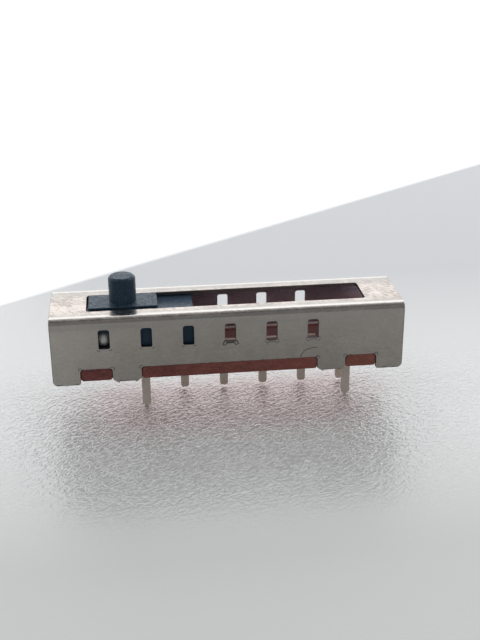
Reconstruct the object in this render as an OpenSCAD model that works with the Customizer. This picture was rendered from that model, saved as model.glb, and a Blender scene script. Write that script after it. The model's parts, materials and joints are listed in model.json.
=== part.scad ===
// Slide switch for a circuit board: one pole, six positions, a round knob.
// The origin is in the middle of the cover, on the circuit board that the feet stand on.
// +X is the way the knob travels, +Y goes to the rear and +Z up to the knob.

/* [Switching] */
// Distance between two neighbouring positions
pitch = 4; // [3.8:0.1:5]
// Distance of the ball bore from the knob, away from the travel
detent_offset = 2; // [1.9:0.1:2.1]
// Distance of the moving contact from the knob, along the travel
contact_offset = 2; // [1.8:0.1:2.2]
// Distance of the common rail from the middle
rail_row = 1.7; // [1.5:0.05:2]
// Distance of the throw terminals from the middle
throw_row = 1.4; // [1.3:0.05:2]

/* [Cover] */
// Width over the two walls
cover_width = 7.9; // [7.6:0.1:10]
// Height of the top plate's upper face
cover_height = 6.8; // [6.4:0.1:8.4]
// Thickness of the plated steel sheet
sheet = 0.35; // [0.25:0.01:0.42]
// Inner radius of the two long bends
bend_radius = 0.3; // [0.1:0.05:0.35]
// Length of each end foot
foot_length = 2.65; // [2:0.05:3]
// Length of each notch between a foot and a tab
notch_length = 3.05; // [2.5:0.05:3.6]
// Width of each tab
tab_width = 2.75; // [2.4:0.05:3.2]
// Width of the tongue that is bent under the board
tongue_width = 1.5; // [1.2:0.1:1.6]
// How far a tongue reaches in under the board
tongue_reach = 1.2; // [1:0.1:1.5]
// Width of the slot in the top plate
slot_width = 4.1; // [3.7:0.1:4.6]
// Width of each window in the walls
window_width = 1.05; // [0.8:0.05:1.25]
// Height of each window
window_height = 1.95; // [1.6:0.05:2.3]
// How far the middle of the windows lies above the balls
window_rise = 0.3; // [0:0.05:0.4]

/* [Board] */
// Thickness of the phenolic board
board_thickness = 1.2; // [1:0.1:1.5]
// Gap between the board and each wall
board_gap = 0.05; // [0.03:0.01:0.1]
// Gap at each end of a tooth
tooth_gap = 0.08; // [0.04:0.01:0.12]

/* [Terminals] */
// Thickness of the tinned strip
blade_thickness = 0.4; // [0.3:0.05:0.5]
// Width of a contact head
head_width = 2.9; // [2.2:0.1:3.2]
// Width of a shoulder under the board
shoulder_width = 2; // [1.8:0.1:2.4]
// Width of a pin
pin_width = 0.82; // [0.6:0.01:0.9]
// How far the pins of the common rail reach below the feet
pin_reach = 3.65; // [2.5:0.05:4.5]
// How much shorter the throw pins are
throw_short = 0.23; // [0:0.01:0.3]
// How far the heads stand above the board
head_proud = 0.05; // [0.02:0.01:0.08]

/* [Slider] */
// Length of the slider's body
slider_length = 13.5; // [12.6:0.1:16.2]
// Gap between the slider and each wall
slider_gap = 0.1; // [0.05:0.01:0.15]
// Gap between the slider and the board
slider_lift = 0.17; // [0.1:0.01:0.25]
// Gap between the slider and the top plate
slider_headroom = 0.07; // [0.04:0.01:0.12]
// Thickness of the slider's outer walls
slider_wall = 0.8; // [0.6:0.05:1]
// Length of the guide block in the slot
guide_length = 6.6; // [5.4:0.1:7.4]
// Width of the guide block
guide_width = 3.45; // [3:0.05:3.6]
// How far the guide block stands above the cover
guide_proud = 0.15; // [0.05:0.05:0.4]
// Diameter of the knob
knob_diameter = 2.62; // [2:0.02:3]
// Height of the knob above the cover
knob_height = 2.75; // [1.5:0.05:5]

/* [Detent] */
// Diameter of each steel ball
ball_diameter = 1.5; // [1.3:0.05:1.8]
// Height of the balls above the board
ball_rise = 2.75; // [2.3:0.05:3]
// Diameter of the spring's wire
wire_diameter = 0.2; // [0.15:0.01:0.22]
// Number of turns of the spring
spring_turns = 7; // [5:1:9]

/* [Moving contact] */
// Thickness of the bronze strip
strip_thickness = 0.15; // [0.1:0.01:0.18]
// Length of the bow between its two flanges
bow_length = 3.6; // [3:0.1:3.8]
// Depth of the bow
bow_depth = 0.5; // [0.4:0.02:0.55]
// Width of each of the two runners
runner_width = 1; // [0.7:0.05:1.2]

/* [Hidden] */

positions = 6;
touch = 0.01;
over = 0.5;
$fn = 48;

// Small sizes that follow the press tool and the mould
foot_outer_radius = 0.5;
foot_inner_radius = 0.25;
notch_radius = 0.35;
slot_radius = 0.3;
slot_play = 0.2;
window_top_radius = 0.25;
window_bottom_radius = 0.1;
window_shift = 0.05;
tongue_radius = 0.08;
tongue_lift = 0.01;
tongue_gap = 0.02;
nib_width = 0.1;
nib_lift = 0.06;
tab_bevel = 0.36;
end_margin = 0.25;
board_margin = 0.2;
tooth_inset = 0.02;
tooth_top_radius = 0.4;
tooth_bottom_radius = 0.2;
blade_gap = 0.02;
shoulder_height = 0.3;
tip_length = 0.28;
tip_inset = 0.31;
terminal_shift = -0.14;
slider_radius = 0.3;
slider_roof = 1;
guide_radius = 0.18;
knob_bevel = [0.23, 0.22];
bore_gap = 0.05;
ball_clear = 0.03;
bay_gap = 0.15;
bay_ceiling = 0.85;
ledge_length = 0.7;

// Lengths along the travel
travel = (positions - 1) * pitch;
knob_x = -travel / 2;
ball_x = knob_x - detent_offset;
contact_x = knob_x + contact_offset;
cover_length = travel + slider_length + 2 * end_margin;
slot_length = travel + guide_length + 2 * slot_play;
notch_x = cover_length / 2 - foot_length - notch_length / 2;
tab_x = cover_length / 2 - foot_length - notch_length - tab_width / 2;
middle_length = 2 * tab_x - tab_width;

// Heights
board_z = tongue_lift + sheet + tongue_gap;
board_top = board_z + board_thickness;
notch_top = board_top + touch;
head_top = board_top + head_proud;
shoulder_z = board_z - touch - shoulder_height;
slider_z = board_top + slider_lift;
slider_top = cover_height - sheet - slider_headroom;
guide_top = cover_height + guide_proud;
knob_top = cover_height + knob_height;
ball_z = board_top + ball_rise;
window_z = ball_z + window_rise;
bay_z = slider_z + bay_ceiling;

// Widths
inner_width = cover_width - 2 * sheet;
board_width = inner_width - 2 * board_gap;
slider_width = inner_width - 2 * slider_gap;
head_slot = [head_width + 2 * blade_gap, blade_thickness + 2 * blade_gap];
bow_width = 2 * rail_row + runner_width;

// A ball just clear of the wall between two windows, and the spring that touches it
ball_radius = ball_diameter / 2;
ball_y = inner_width / 2 - ball_clear - ball_radius;
coil_radius = ball_radius - wire_diameter;
wire_reach = ball_radius + wire_diameter / 2 + touch;
spring_y = ball_y - sqrt(wire_reach * wire_reach - coil_radius * coil_radius);

function throw_x(i) = contact_x + terminal_shift + i * pitch;
function window_x(i) = ball_x + window_shift + i * pitch;

// ---- shared shapes ----

// What a radius takes off the corner at the origin of the first quadrant
module corner_waste(radius) {
    difference() {
        translate([-over, -over]) square(radius + over);
        translate([radius, radius]) circle(radius);
    }
}

// A rectangle from the origin whose bottom and top corners have their own radii
module rounded_rectangle(size, left_bottom, right_bottom, top) {
    difference() {
        square(size);
        if (left_bottom > 0)
            corner_waste(left_bottom);
        if (right_bottom > 0)
            translate([size.x, 0]) mirror([1, 0]) corner_waste(right_bottom);
        if (top > 0) {
            translate([0, size.y]) mirror([0, 1]) corner_waste(top);
            translate([size.x, size.y]) rotate(180) corner_waste(top);
        }
    }
}

// An outline in X and Z, made solid along Y about the middle
module standing(depth) {
    translate([0, depth / 2, 0]) rotate([90, 0, 0]) linear_extrude(height = depth) children();
}

// A section in Y and Z, made solid along X about the middle
module lengthwise(length) {
    translate([-length / 2, 0, 0]) rotate([90, 0, 90]) linear_extrude(height = length) children();
}

// Both walls, or both ends, from one
module on_both_walls() {
    children();
    mirror([0, 1, 0]) children();
}

module on_both_ends() {
    children();
    mirror([1, 0, 0]) children();
}

// ---- cover ----

// The section of the folded channel, in Y and Z
module channel_section() {
    outer_radius = bend_radius + sheet;
    difference() {
        translate([-cover_width / 2, 0])
            rounded_rectangle([cover_width, cover_height], 0, 0, outer_radius);
        translate([-inner_width / 2, -over])
            rounded_rectangle([inner_width, cover_height - sheet + over], 0, 0, bend_radius);
    }
}

// A foot at the right end, rounded at both corners
module foot_outline() {
    translate([cover_length / 2 - foot_length, 0])
        rounded_rectangle([foot_length, notch_top + over], foot_inner_radius, foot_outer_radius, 0);
}

// A tab at the right: beveled to a nib on each side of its tongue
module tab_outline() {
    half = tab_width / 2;
    root = tongue_width / 2;
    nib = root + nib_width;
    bend_start = tongue_lift + sheet + tongue_radius;
    translate([tab_x, 0])
        polygon([[-half, notch_top + over], [-half, nib_lift + tab_bevel], [-nib, nib_lift],
                 [-root, nib_lift], [-root, bend_start], [root, bend_start], [root, nib_lift],
                 [nib, nib_lift], [half, nib_lift + tab_bevel], [half, notch_top + over]]);
}

// The small radii in the upper corners of the notches, at the right
module notch_corners() {
    for (edge = [middle_length / 2, notch_x - notch_length / 2, cover_length / 2 - foot_length])
        translate([edge, notch_top])
            mirror([edge == notch_x - notch_length / 2 ? 0 : 1, 1])
                intersection() {
                    corner_waste(notch_radius);
                    square(notch_radius);
                }
}

module window_outline() {
    translate([-window_width / 2, window_z - window_height / 2])
        rounded_rectangle([window_width, window_height],
                          window_bottom_radius, window_bottom_radius, window_top_radius);
}

// Either long wall seen from the front
module wall_outline() {
    difference() {
        union() {
            translate([-cover_length / 2, notch_top])
                square([cover_length, cover_height]);
            on_both_ends() {
                foot_outline();
                tab_outline();
                notch_corners();
            }
        }
        for (i = [0 : positions - 1])
            translate([window_x(i), 0]) window_outline();
    }
}

// The rear tongue of the right tab, bent in under the board
module tongue() {
    outer_radius = tongue_radius + sheet;
    translate([tab_x - tongue_width / 2, cover_width / 2 - outer_radius, tongue_lift + outer_radius]) {
        rotate([0, 90, 0])
            rotate_extrude(angle = 90)
                translate([tongue_radius, 0]) square([sheet, tongue_width]);
        translate([0, outer_radius - tongue_reach, -outer_radius])
            cube([tongue_width, tongue_reach - outer_radius, sheet]);
    }
}

module slot_cut() {
    translate([-slot_length / 2, -slot_width / 2, cover_height - sheet - over])
        linear_extrude(height = sheet + 2 * over)
            rounded_rectangle([slot_length, slot_width], slot_radius, slot_radius, slot_radius);
}

module cover() {
    color("gainsboro") {
        difference() {
            intersection() {
                lengthwise(cover_length) channel_section();
                standing(cover_width + 2 * over) wall_outline();
            }
            slot_cut();
        }
        on_both_ends() on_both_walls() tongue();
    }
}

// ---- base board ----

// A tooth that stands in a notch of each wall
module tooth(middle, length) {
    translate([middle - length / 2 + tooth_gap, 0, board_z])
        standing(cover_width - 2 * tooth_inset)
            rounded_rectangle([length - 2 * tooth_gap, board_thickness],
                              tooth_bottom_radius, tooth_bottom_radius, tooth_top_radius);
}

module slot_for_blade(x, y, length) {
    translate([x - length / 2, y - head_slot.y / 2, board_z - over])
        cube([length, head_slot.y, board_thickness + 2 * over]);
}

module base_board() {
    board_length = cover_length - 2 * board_margin;
    rail = travel + head_slot.x;
    color("saddlebrown")
    difference() {
        union() {
            translate([-board_length / 2, -board_width / 2, board_z])
                cube([board_length, board_width, board_thickness]);
            tooth(0, middle_length);
            on_both_ends() tooth(notch_x, notch_length);
        }
        for (i = [0 : positions - 1])
            slot_for_blade(throw_x(i), throw_row, head_slot.x);
        slot_for_blade(throw_x(0) + travel / 2, -rail_row, rail);
    }
}

// ---- terminals ----

// A pin with its shoulder; the tip is cut to a blunt point or rounded
module pin_outline(reach, pointed) {
    half = pin_width / 2;
    top = reach + shoulder_z + touch;
    translate([-shoulder_width / 2, shoulder_z]) square([shoulder_width, shoulder_height]);
    translate([0, -reach])
        if (pointed)
            polygon([[tip_inset - half, 0], [half - tip_inset, 0], [half, tip_length],
                     [half, top], [-half, top], [-half, tip_length]]);
        else
            translate([-half, 0]) rounded_rectangle([pin_width, top], tip_length, tip_length, 0);
}

// The blade that fills its slot in the board, stands a little proud of it and serves
// every pin over the given length
module head_outline(length) {
    translate([-head_width / 2, board_z - touch])
        square([length + head_width, head_top - board_z + touch]);
}

module throw_terminal(i) {
    color("silver")
    translate([throw_x(i), throw_row, 0])
        standing(blade_thickness) {
            pin_outline(pin_reach - throw_short, false);
            head_outline(0);
        }
}

// The long rail that the moving contact never leaves, with a pin at each end
module common_terminal() {
    color("silver")
    translate([throw_x(0), -rail_row, 0])
        standing(blade_thickness) {
            for (x = [0, travel])
                translate([x, 0]) pin_outline(pin_reach, true);
            head_outline(travel);
        }
}

// ---- slider ----

// A cavity under the slider, open below
module core(x, length, width, top) {
    translate([x - length / 2, -width / 2, slider_z - over])
        cube([length, width, top - slider_z + over]);
}

// An upright block with rounded corners, in the middle of the knob
module upright_block(size, radius, z) {
    translate([-size.x / 2, -size.y / 2, z])
        linear_extrude(height = size.z)
            rounded_rectangle([size.x, size.y], radius, radius, radius);
}

// The body fits under the plate and into the long bends of the cover
module slider_body() {
    height = slider_top - slider_z;
    intersection() {
        upright_block([slider_length, slider_width, height], slider_radius, slider_z);
        lengthwise(slider_length)
            translate([-slider_width / 2, slider_z])
                rounded_rectangle([slider_width, height], 0, 0, bend_radius);
    }
}

module knob() {
    radius = knob_diameter / 2;
    rotate_extrude()
        polygon([[0, slider_top - over], [radius, slider_top - over], [radius, knob_top - knob_bevel.y],
                 [radius - knob_bevel.x, knob_top], [0, knob_top]]);
}

// The hollows that leave walls, a block round the ball bore and ledges over the contact
module slider_cores() {
    bore = ball_diameter + 2 * bore_gap;
    bay_length = bow_length + 2 * bay_gap;
    block_left = -detent_offset - bore / 2 - slider_wall;
    block_right = contact_offset - bay_length / 2;
    bay_right = contact_offset + bay_length / 2;
    body_end = slider_length / 2 - slider_wall;
    core_top = slider_top - slider_roof;
    core_width = slider_width - 2 * slider_wall;
    left_core = body_end + block_left;
    right_core = body_end - bay_right - slider_wall;
    core(-body_end + left_core / 2, left_core, core_width, core_top);
    core(body_end - right_core / 2, right_core, core_width, core_top);
    core(contact_offset, bay_length, bow_width + 2 * bay_gap, bay_z);
    core(contact_offset, bay_length - 2 * ledge_length, bow_width + 2 * bay_gap, core_top);
    translate([-detent_offset, 0, ball_z])
        rotate([90, 0, 0]) cylinder(d = bore, h = slider_width + 2 * over, center = true);
}

module slider() {
    color("darkslategray")
    translate([knob_x, 0, 0]) {
        difference() {
            union() {
                slider_body();
                upright_block([guide_length, guide_width, guide_top - slider_z], guide_radius, slider_z);
            }
            slider_cores();
        }
        knob();
    }
}

// ---- moving contact ----

// The strip seen from the front: a bow with a flange up at each end
module bow_outline() {
    bow_radius = (bow_length * bow_length / 4 + bow_depth * bow_depth) / (2 * bow_depth);
    crest = head_top + touch;
    flange_z = crest + bow_depth - 0.4 * strip_thickness;
    intersection() {
        translate([0, crest + bow_radius])
            difference() {
                circle(bow_radius, $fn = 96);
                circle(bow_radius - strip_thickness, $fn = 96);
            }
        translate([(strip_thickness - bow_length) / 2, crest - over])
            square([bow_length - strip_thickness, bow_radius]);
    }
    on_both_ends()
        translate([bow_length / 2 - strip_thickness, flange_z])
            rounded_rectangle([strip_thickness, bay_z - touch - flange_z], 0, strip_thickness / 2, 0);
}

// The strip, opened between its two runners
module moving_contact() {
    window_length = bow_length - 2 * ledge_length;
    window_side = bow_width - 2 * runner_width;
    color("goldenrod")
    translate([contact_x, 0, 0])
        difference() {
            standing(bow_width) bow_outline();
            translate([-window_length / 2, -window_side / 2, 0])
                cube([window_length, window_side, bay_z]);
        }
}

// ---- detent ----

// The point that is a share t of the way along the helix
function coil_point(t) =
    let (turn = 360 * spring_turns * t)
    [coil_radius * cos(turn), spring_y * (2 * t - 1), coil_radius * sin(turn)];

// Rings of points round the wire's axis, closed to one solid
module detent_spring() {
    steps = spring_turns * 20;
    sides = 8;
    points = [for (s = [0 : steps]) let (t = s / steps, turn = 360 * spring_turns * t)
              for (k = [0 : sides - 1]) let (a = 360 * k / sides, r = wire_diameter / 2)
              coil_point(t) + [r * cos(a) * cos(turn), r * sin(a), r * cos(a) * sin(turn)]];
    walls = [for (s = [0 : steps - 1]) for (k = [0 : sides - 1]) let (n = (k + 1) % sides)
             [s * sides + k, s * sides + n, (s + 1) * sides + n, (s + 1) * sides + k]];
    first = [for (k = [sides - 1 : -1 : 0]) k];
    last = [for (k = [0 : sides - 1]) steps * sides + k];
    color("silver")
    translate([ball_x, 0, ball_z])
        polyhedron(points, concat(walls, [first, last]));
}

module detent_ball(side) {
    color("whitesmoke")
    translate([ball_x, side * ball_y, ball_z]) sphere(d = ball_diameter, $fn = 96);
}

cover();
base_board();
throw_terminal(0);  // throw_terminal_1
throw_terminal(1);  // throw_terminal_2
throw_terminal(2);  // throw_terminal_3
throw_terminal(3);  // throw_terminal_4
throw_terminal(4);  // throw_terminal_5
throw_terminal(5);  // throw_terminal_6
common_terminal();
slider();
moving_contact();
detent_spring();
detent_ball(-1);  // detent_ball_front
detent_ball(1);  // detent_ball_back
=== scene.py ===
"""A six-position slide switch for a circuit board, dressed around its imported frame.

The frame holds every piece at its true size. This script gives each piece its
finish, breaks the sharp edges of what was cut, folded or moulded, and sets the
switch on a pale floor in soft light from behind. Sizes and places are in
millimetres unless a comment says otherwise.
"""

import json
import logging
import math
from collections.abc import Callable
from dataclasses import dataclass, replace
from enum import Enum

import bpy
from mathutils import Euler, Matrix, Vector

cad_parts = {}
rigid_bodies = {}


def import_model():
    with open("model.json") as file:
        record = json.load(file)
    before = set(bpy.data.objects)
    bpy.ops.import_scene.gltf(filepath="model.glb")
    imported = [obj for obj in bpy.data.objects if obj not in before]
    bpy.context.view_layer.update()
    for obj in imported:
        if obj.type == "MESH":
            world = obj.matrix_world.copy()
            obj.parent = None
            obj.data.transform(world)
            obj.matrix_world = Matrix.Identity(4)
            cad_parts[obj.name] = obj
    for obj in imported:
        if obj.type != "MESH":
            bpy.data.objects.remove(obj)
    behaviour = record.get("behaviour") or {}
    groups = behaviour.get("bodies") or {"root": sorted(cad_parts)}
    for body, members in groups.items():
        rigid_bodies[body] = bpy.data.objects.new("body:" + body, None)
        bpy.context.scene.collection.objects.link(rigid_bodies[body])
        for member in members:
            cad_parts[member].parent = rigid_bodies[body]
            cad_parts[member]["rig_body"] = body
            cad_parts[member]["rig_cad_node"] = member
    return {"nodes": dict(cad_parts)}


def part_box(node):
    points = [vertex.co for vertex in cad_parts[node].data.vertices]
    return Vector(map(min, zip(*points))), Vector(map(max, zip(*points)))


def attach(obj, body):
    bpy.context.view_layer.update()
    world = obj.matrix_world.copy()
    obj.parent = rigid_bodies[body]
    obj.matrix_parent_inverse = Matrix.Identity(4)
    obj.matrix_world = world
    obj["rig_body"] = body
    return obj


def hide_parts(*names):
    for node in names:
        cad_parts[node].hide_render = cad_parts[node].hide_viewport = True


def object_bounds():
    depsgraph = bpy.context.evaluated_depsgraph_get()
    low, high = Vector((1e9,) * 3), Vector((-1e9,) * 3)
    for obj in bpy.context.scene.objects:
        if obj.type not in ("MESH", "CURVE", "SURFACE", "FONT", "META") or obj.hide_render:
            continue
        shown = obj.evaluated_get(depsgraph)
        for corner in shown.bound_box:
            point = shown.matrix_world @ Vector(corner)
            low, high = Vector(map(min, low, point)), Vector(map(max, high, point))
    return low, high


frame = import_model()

CAD_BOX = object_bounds()
MM = 0.001
LOG = logging.getLogger("slide_switch")

# Edges sharper than the first angle stay crisp, and faces that differ by less than the second are one.
SHARP_ANGLE = 35.0
FLATNESS = 0.5

# Points closer than this are one, on a piece and on the tool that cuts the marks.
WELD = 0.0005
TOOL_WELD = 0.0001

# How strongly flats hold their shading, and how round the cutting tool is.
FLAT_WEIGHT = 90
CUTTER_STEPS = 2

Triple = tuple[float, float, float]
Colour = Triple
Outline = tuple[tuple[float, float], ...]
Node = bpy.types.Node
Socket = bpy.types.NodeSocket
WHITE: Colour = (1.0, 1.0, 1.0)


class Body(Enum):
    """The bodies of the frame that pieces ride on."""

    HOUSING = "housing"
    SLIDE = "slide"


class Axis(Enum):
    """A piece's axes, named as a vector's outputs are."""

    X = "X"
    Y = "Y"
    Z = "Z"


class Sum(Enum):
    """The sums that a finish is worked out with."""

    ADD = "ADD"
    SUBTRACT = "SUBTRACT"
    MULTIPLY = "MULTIPLY"
    MULTIPLY_ADD = "MULTIPLY_ADD"
    LARGER = "MAXIMUM"
    SIZE = "ABSOLUTE"


class Curve(Enum):
    """How a ramp runs between its ends."""

    STRAIGHT = "LINEAR"
    EASED = "SMOOTHSTEP"


class Mark(Enum):
    """The face attributes that tell the cover's finish what a face is."""

    CUT = "cut"
    INSIDE = "inside"
    GROOVE = "groove"


@dataclass(frozen=True)
class Ramp:
    """A change of one value over a stretch of another, held beyond both ends."""

    low: float
    high: float
    start: float = 0.0
    end: float = 1.0
    curve: Curve = Curve.STRAIGHT


OPPOSITE = Ramp(0.0, 1.0, 1.0, 0.0)


@dataclass(frozen=True)
class Clouds:
    """A cloudy pattern from 0 to 1.

    The scale is in clouds for each millimetre, the detail counts finer layers,
    and the warp draws the clouds out of shape. The stretch says how much faster
    the pattern runs along each axis, after a turn in degrees about each.
    """

    scale: float
    detail: float = 2.0
    warp: float = 0.0
    stretch: Triple = (1.0, 1.0, 1.0)
    turn: Triple = (0.0, 0.0, 0.0)


def rgba(colour: Colour) -> tuple[float, float, float, float]:
    """Return a colour with full alpha."""
    return (*colour, 1.0)


class Nodes:
    """A node tree that is built from its texture up to its surface."""

    def __init__(self, tree: bpy.types.NodeTree) -> None:
        """Start with an empty tree."""
        self.tree = tree
        self.tree.nodes.clear()

    def add(self, kind: str, inputs: dict[str | int, object] | None = None, **settings: object) -> Node:
        """Add a node and set or link its inputs.

        Args:
            kind: The node's type, without the common prefix.
            inputs: A value or an output socket for each input, by name or index.
            settings: The node's own properties.

        Returns:
            The new node.
        """
        node = self.tree.nodes.new("ShaderNode" + kind)
        for key, value in settings.items():
            setattr(node, key, value)
        for key, value in (inputs or {}).items():
            if isinstance(value, Socket):
                self.tree.links.new(value, node.inputs[key])
            else:
                node.inputs[key].default_value = value
        return node

    def ramp(self, value: Socket, ramp: Ramp) -> Socket:
        """Run a value through a ramp.

        Args:
            value: What is moved.
            ramp: The old range and the new one.

        Returns:
            A value output.
        """
        ends = {"From Min": ramp.low, "From Max": ramp.high, "To Min": ramp.start, "To Max": ramp.end}
        node = self.add("MapRange", {"Value": value, **ends}, interpolation_type=ramp.curve.value)
        return node.outputs["Result"]

    def work_out(self, kind: Sum, *values: float | Socket) -> Socket:
        """Return the result of a sum on up to three values."""
        return self.add("Math", dict(enumerate(values)), operation=kind.value).outputs["Value"]

    def product(self, first: Socket, second: Socket) -> Socket:
        """Return one value times another."""
        return self.work_out(Sum.MULTIPLY, first, second)

    def sum(self, first: Socket, second: Socket, share: float = 1.0) -> Socket:
        """Return the first value with a share of the second added."""
        return self.work_out(Sum.MULTIPLY_ADD, second, share, first)

    def away(self, value: Socket, line: float = 0.0) -> Socket:
        """Return how far a value is from a line, to either side."""
        return self.work_out(Sum.SIZE, self.work_out(Sum.SUBTRACT, value, line))

    def blend(self, factor: Socket, first: float | Socket, second: float | Socket) -> Socket:
        """Return a value between two others, the first at 0 and the second at 1."""
        return self.add("Mix", {"Factor": factor, "A": first, "B": second}).outputs["Result"]

    def mix(self, factor: Socket, first: Colour | Socket, second: Colour | Socket) -> Socket:
        """Mix two colours.

        Args:
            factor: 0 gives the first and 1 the second.
            first: A colour or a colour output.
            second: A colour or a colour output.

        Returns:
            A colour output.
        """
        node = self.add("Mix", data_type="RGBA")
        factor_input, first_input, second_input = node.inputs[0], node.inputs[6], node.inputs[7]
        self.tree.links.new(factor, factor_input)
        for socket, value in ((first_input, first), (second_input, second)):
            if isinstance(value, Socket):
                self.tree.links.new(value, socket)
            else:
                socket.default_value = rgba(value)
        return node.outputs[2]


class Graph(Nodes):
    """The node tree of one material."""

    def __init__(self, name: str) -> None:
        """Start a material that holds only a surface and its output.

        Args:
            name: The material's name.
        """
        self.material = bpy.data.materials.new(name)
        self.material.use_nodes = True
        super().__init__(self.material.node_tree)
        self.surface = self.add("BsdfPrincipled")
        self.add("OutputMaterial", {"Surface": self.surface.outputs["BSDF"]})

    def millimetres(self, stretch: Triple = (1.0, 1.0, 1.0), turn: Triple = (0.0, 0.0, 0.0)) -> Socket:
        """Find the place on the piece in millimetres.

        Args:
            stretch: How much faster the pattern runs along each axis.
            turn: The pattern's turn about each axis, in degrees.

        Returns:
            A vector output.
        """
        place = self.add("TexCoord").outputs["Object"]
        rotation = Euler([math.radians(angle) for angle in turn])
        turned = self.add("Mapping", {"Vector": place, "Rotation": rotation}).outputs["Vector"]
        scale = Vector([axis / MM for axis in stretch])
        return self.add("Mapping", {"Vector": turned, "Scale": scale}).outputs["Vector"]

    def along(self, axis: Axis, turn: Triple = (0.0, 0.0, 0.0)) -> Socket:
        """Return the place along one axis, on axes that may be turned."""
        return self.add("SeparateXYZ", {0: self.millimetres(turn=turn)}).outputs[axis.value]

    def noise(self, clouds: Clouds) -> Socket:
        """Add a cloudy pattern.

        Args:
            clouds: Its scale, detail, warp, stretch and turn.

        Returns:
            A value output, from 0 to 1.
        """
        inputs = {
            "Vector": self.millimetres(clouds.stretch, clouds.turn),
            "Scale": clouds.scale,
            "Detail": clouds.detail,
            "Distortion": clouds.warp,
        }
        return self.add("TexNoise", inputs).outputs["Fac"]

    def bump(
        self, height: Socket, depth: float, strength: float | Socket = 1.0, below: Socket | None = None
    ) -> Socket:
        """Lay bumps on the surface.

        Args:
            height: A pattern from 0 to 1.
            depth: The pattern's depth in millimetres.
            strength: How much of the depth is used, from 0 to 1.
            below: A normal that this one is laid over.

        Returns:
            A vector output.
        """
        node = self.add("Bump", {"Height": height, "Strength": strength, "Distance": depth * MM})
        if below is not None:
            self.tree.links.new(below, node.inputs["Normal"])
        return node.outputs["Normal"]

    def finish(
        self,
        colour: Colour | Socket,
        gloss: float | Socket,
        normal: Socket | None = None,
        metal: float | Socket = 0.0,
    ) -> bpy.types.Material:
        """Set the surface.

        Args:
            colour: A colour or a colour output.
            gloss: The roughness, or an output for it.
            normal: The bumps on the surface, if it has any.
            metal: 1 for bare metal, or an output for it.

        Returns:
            The finished material.
        """
        sockets = (("Base Color", colour), ("Roughness", gloss), ("Normal", normal), ("Metallic", metal))
        for name, value in sockets:
            socket = self.surface.inputs[name]
            if isinstance(value, Socket):
                self.tree.links.new(value, socket)
            elif value is not None:
                socket.default_value = rgba(value) if name == "Base Color" else value
        return self.material


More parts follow.
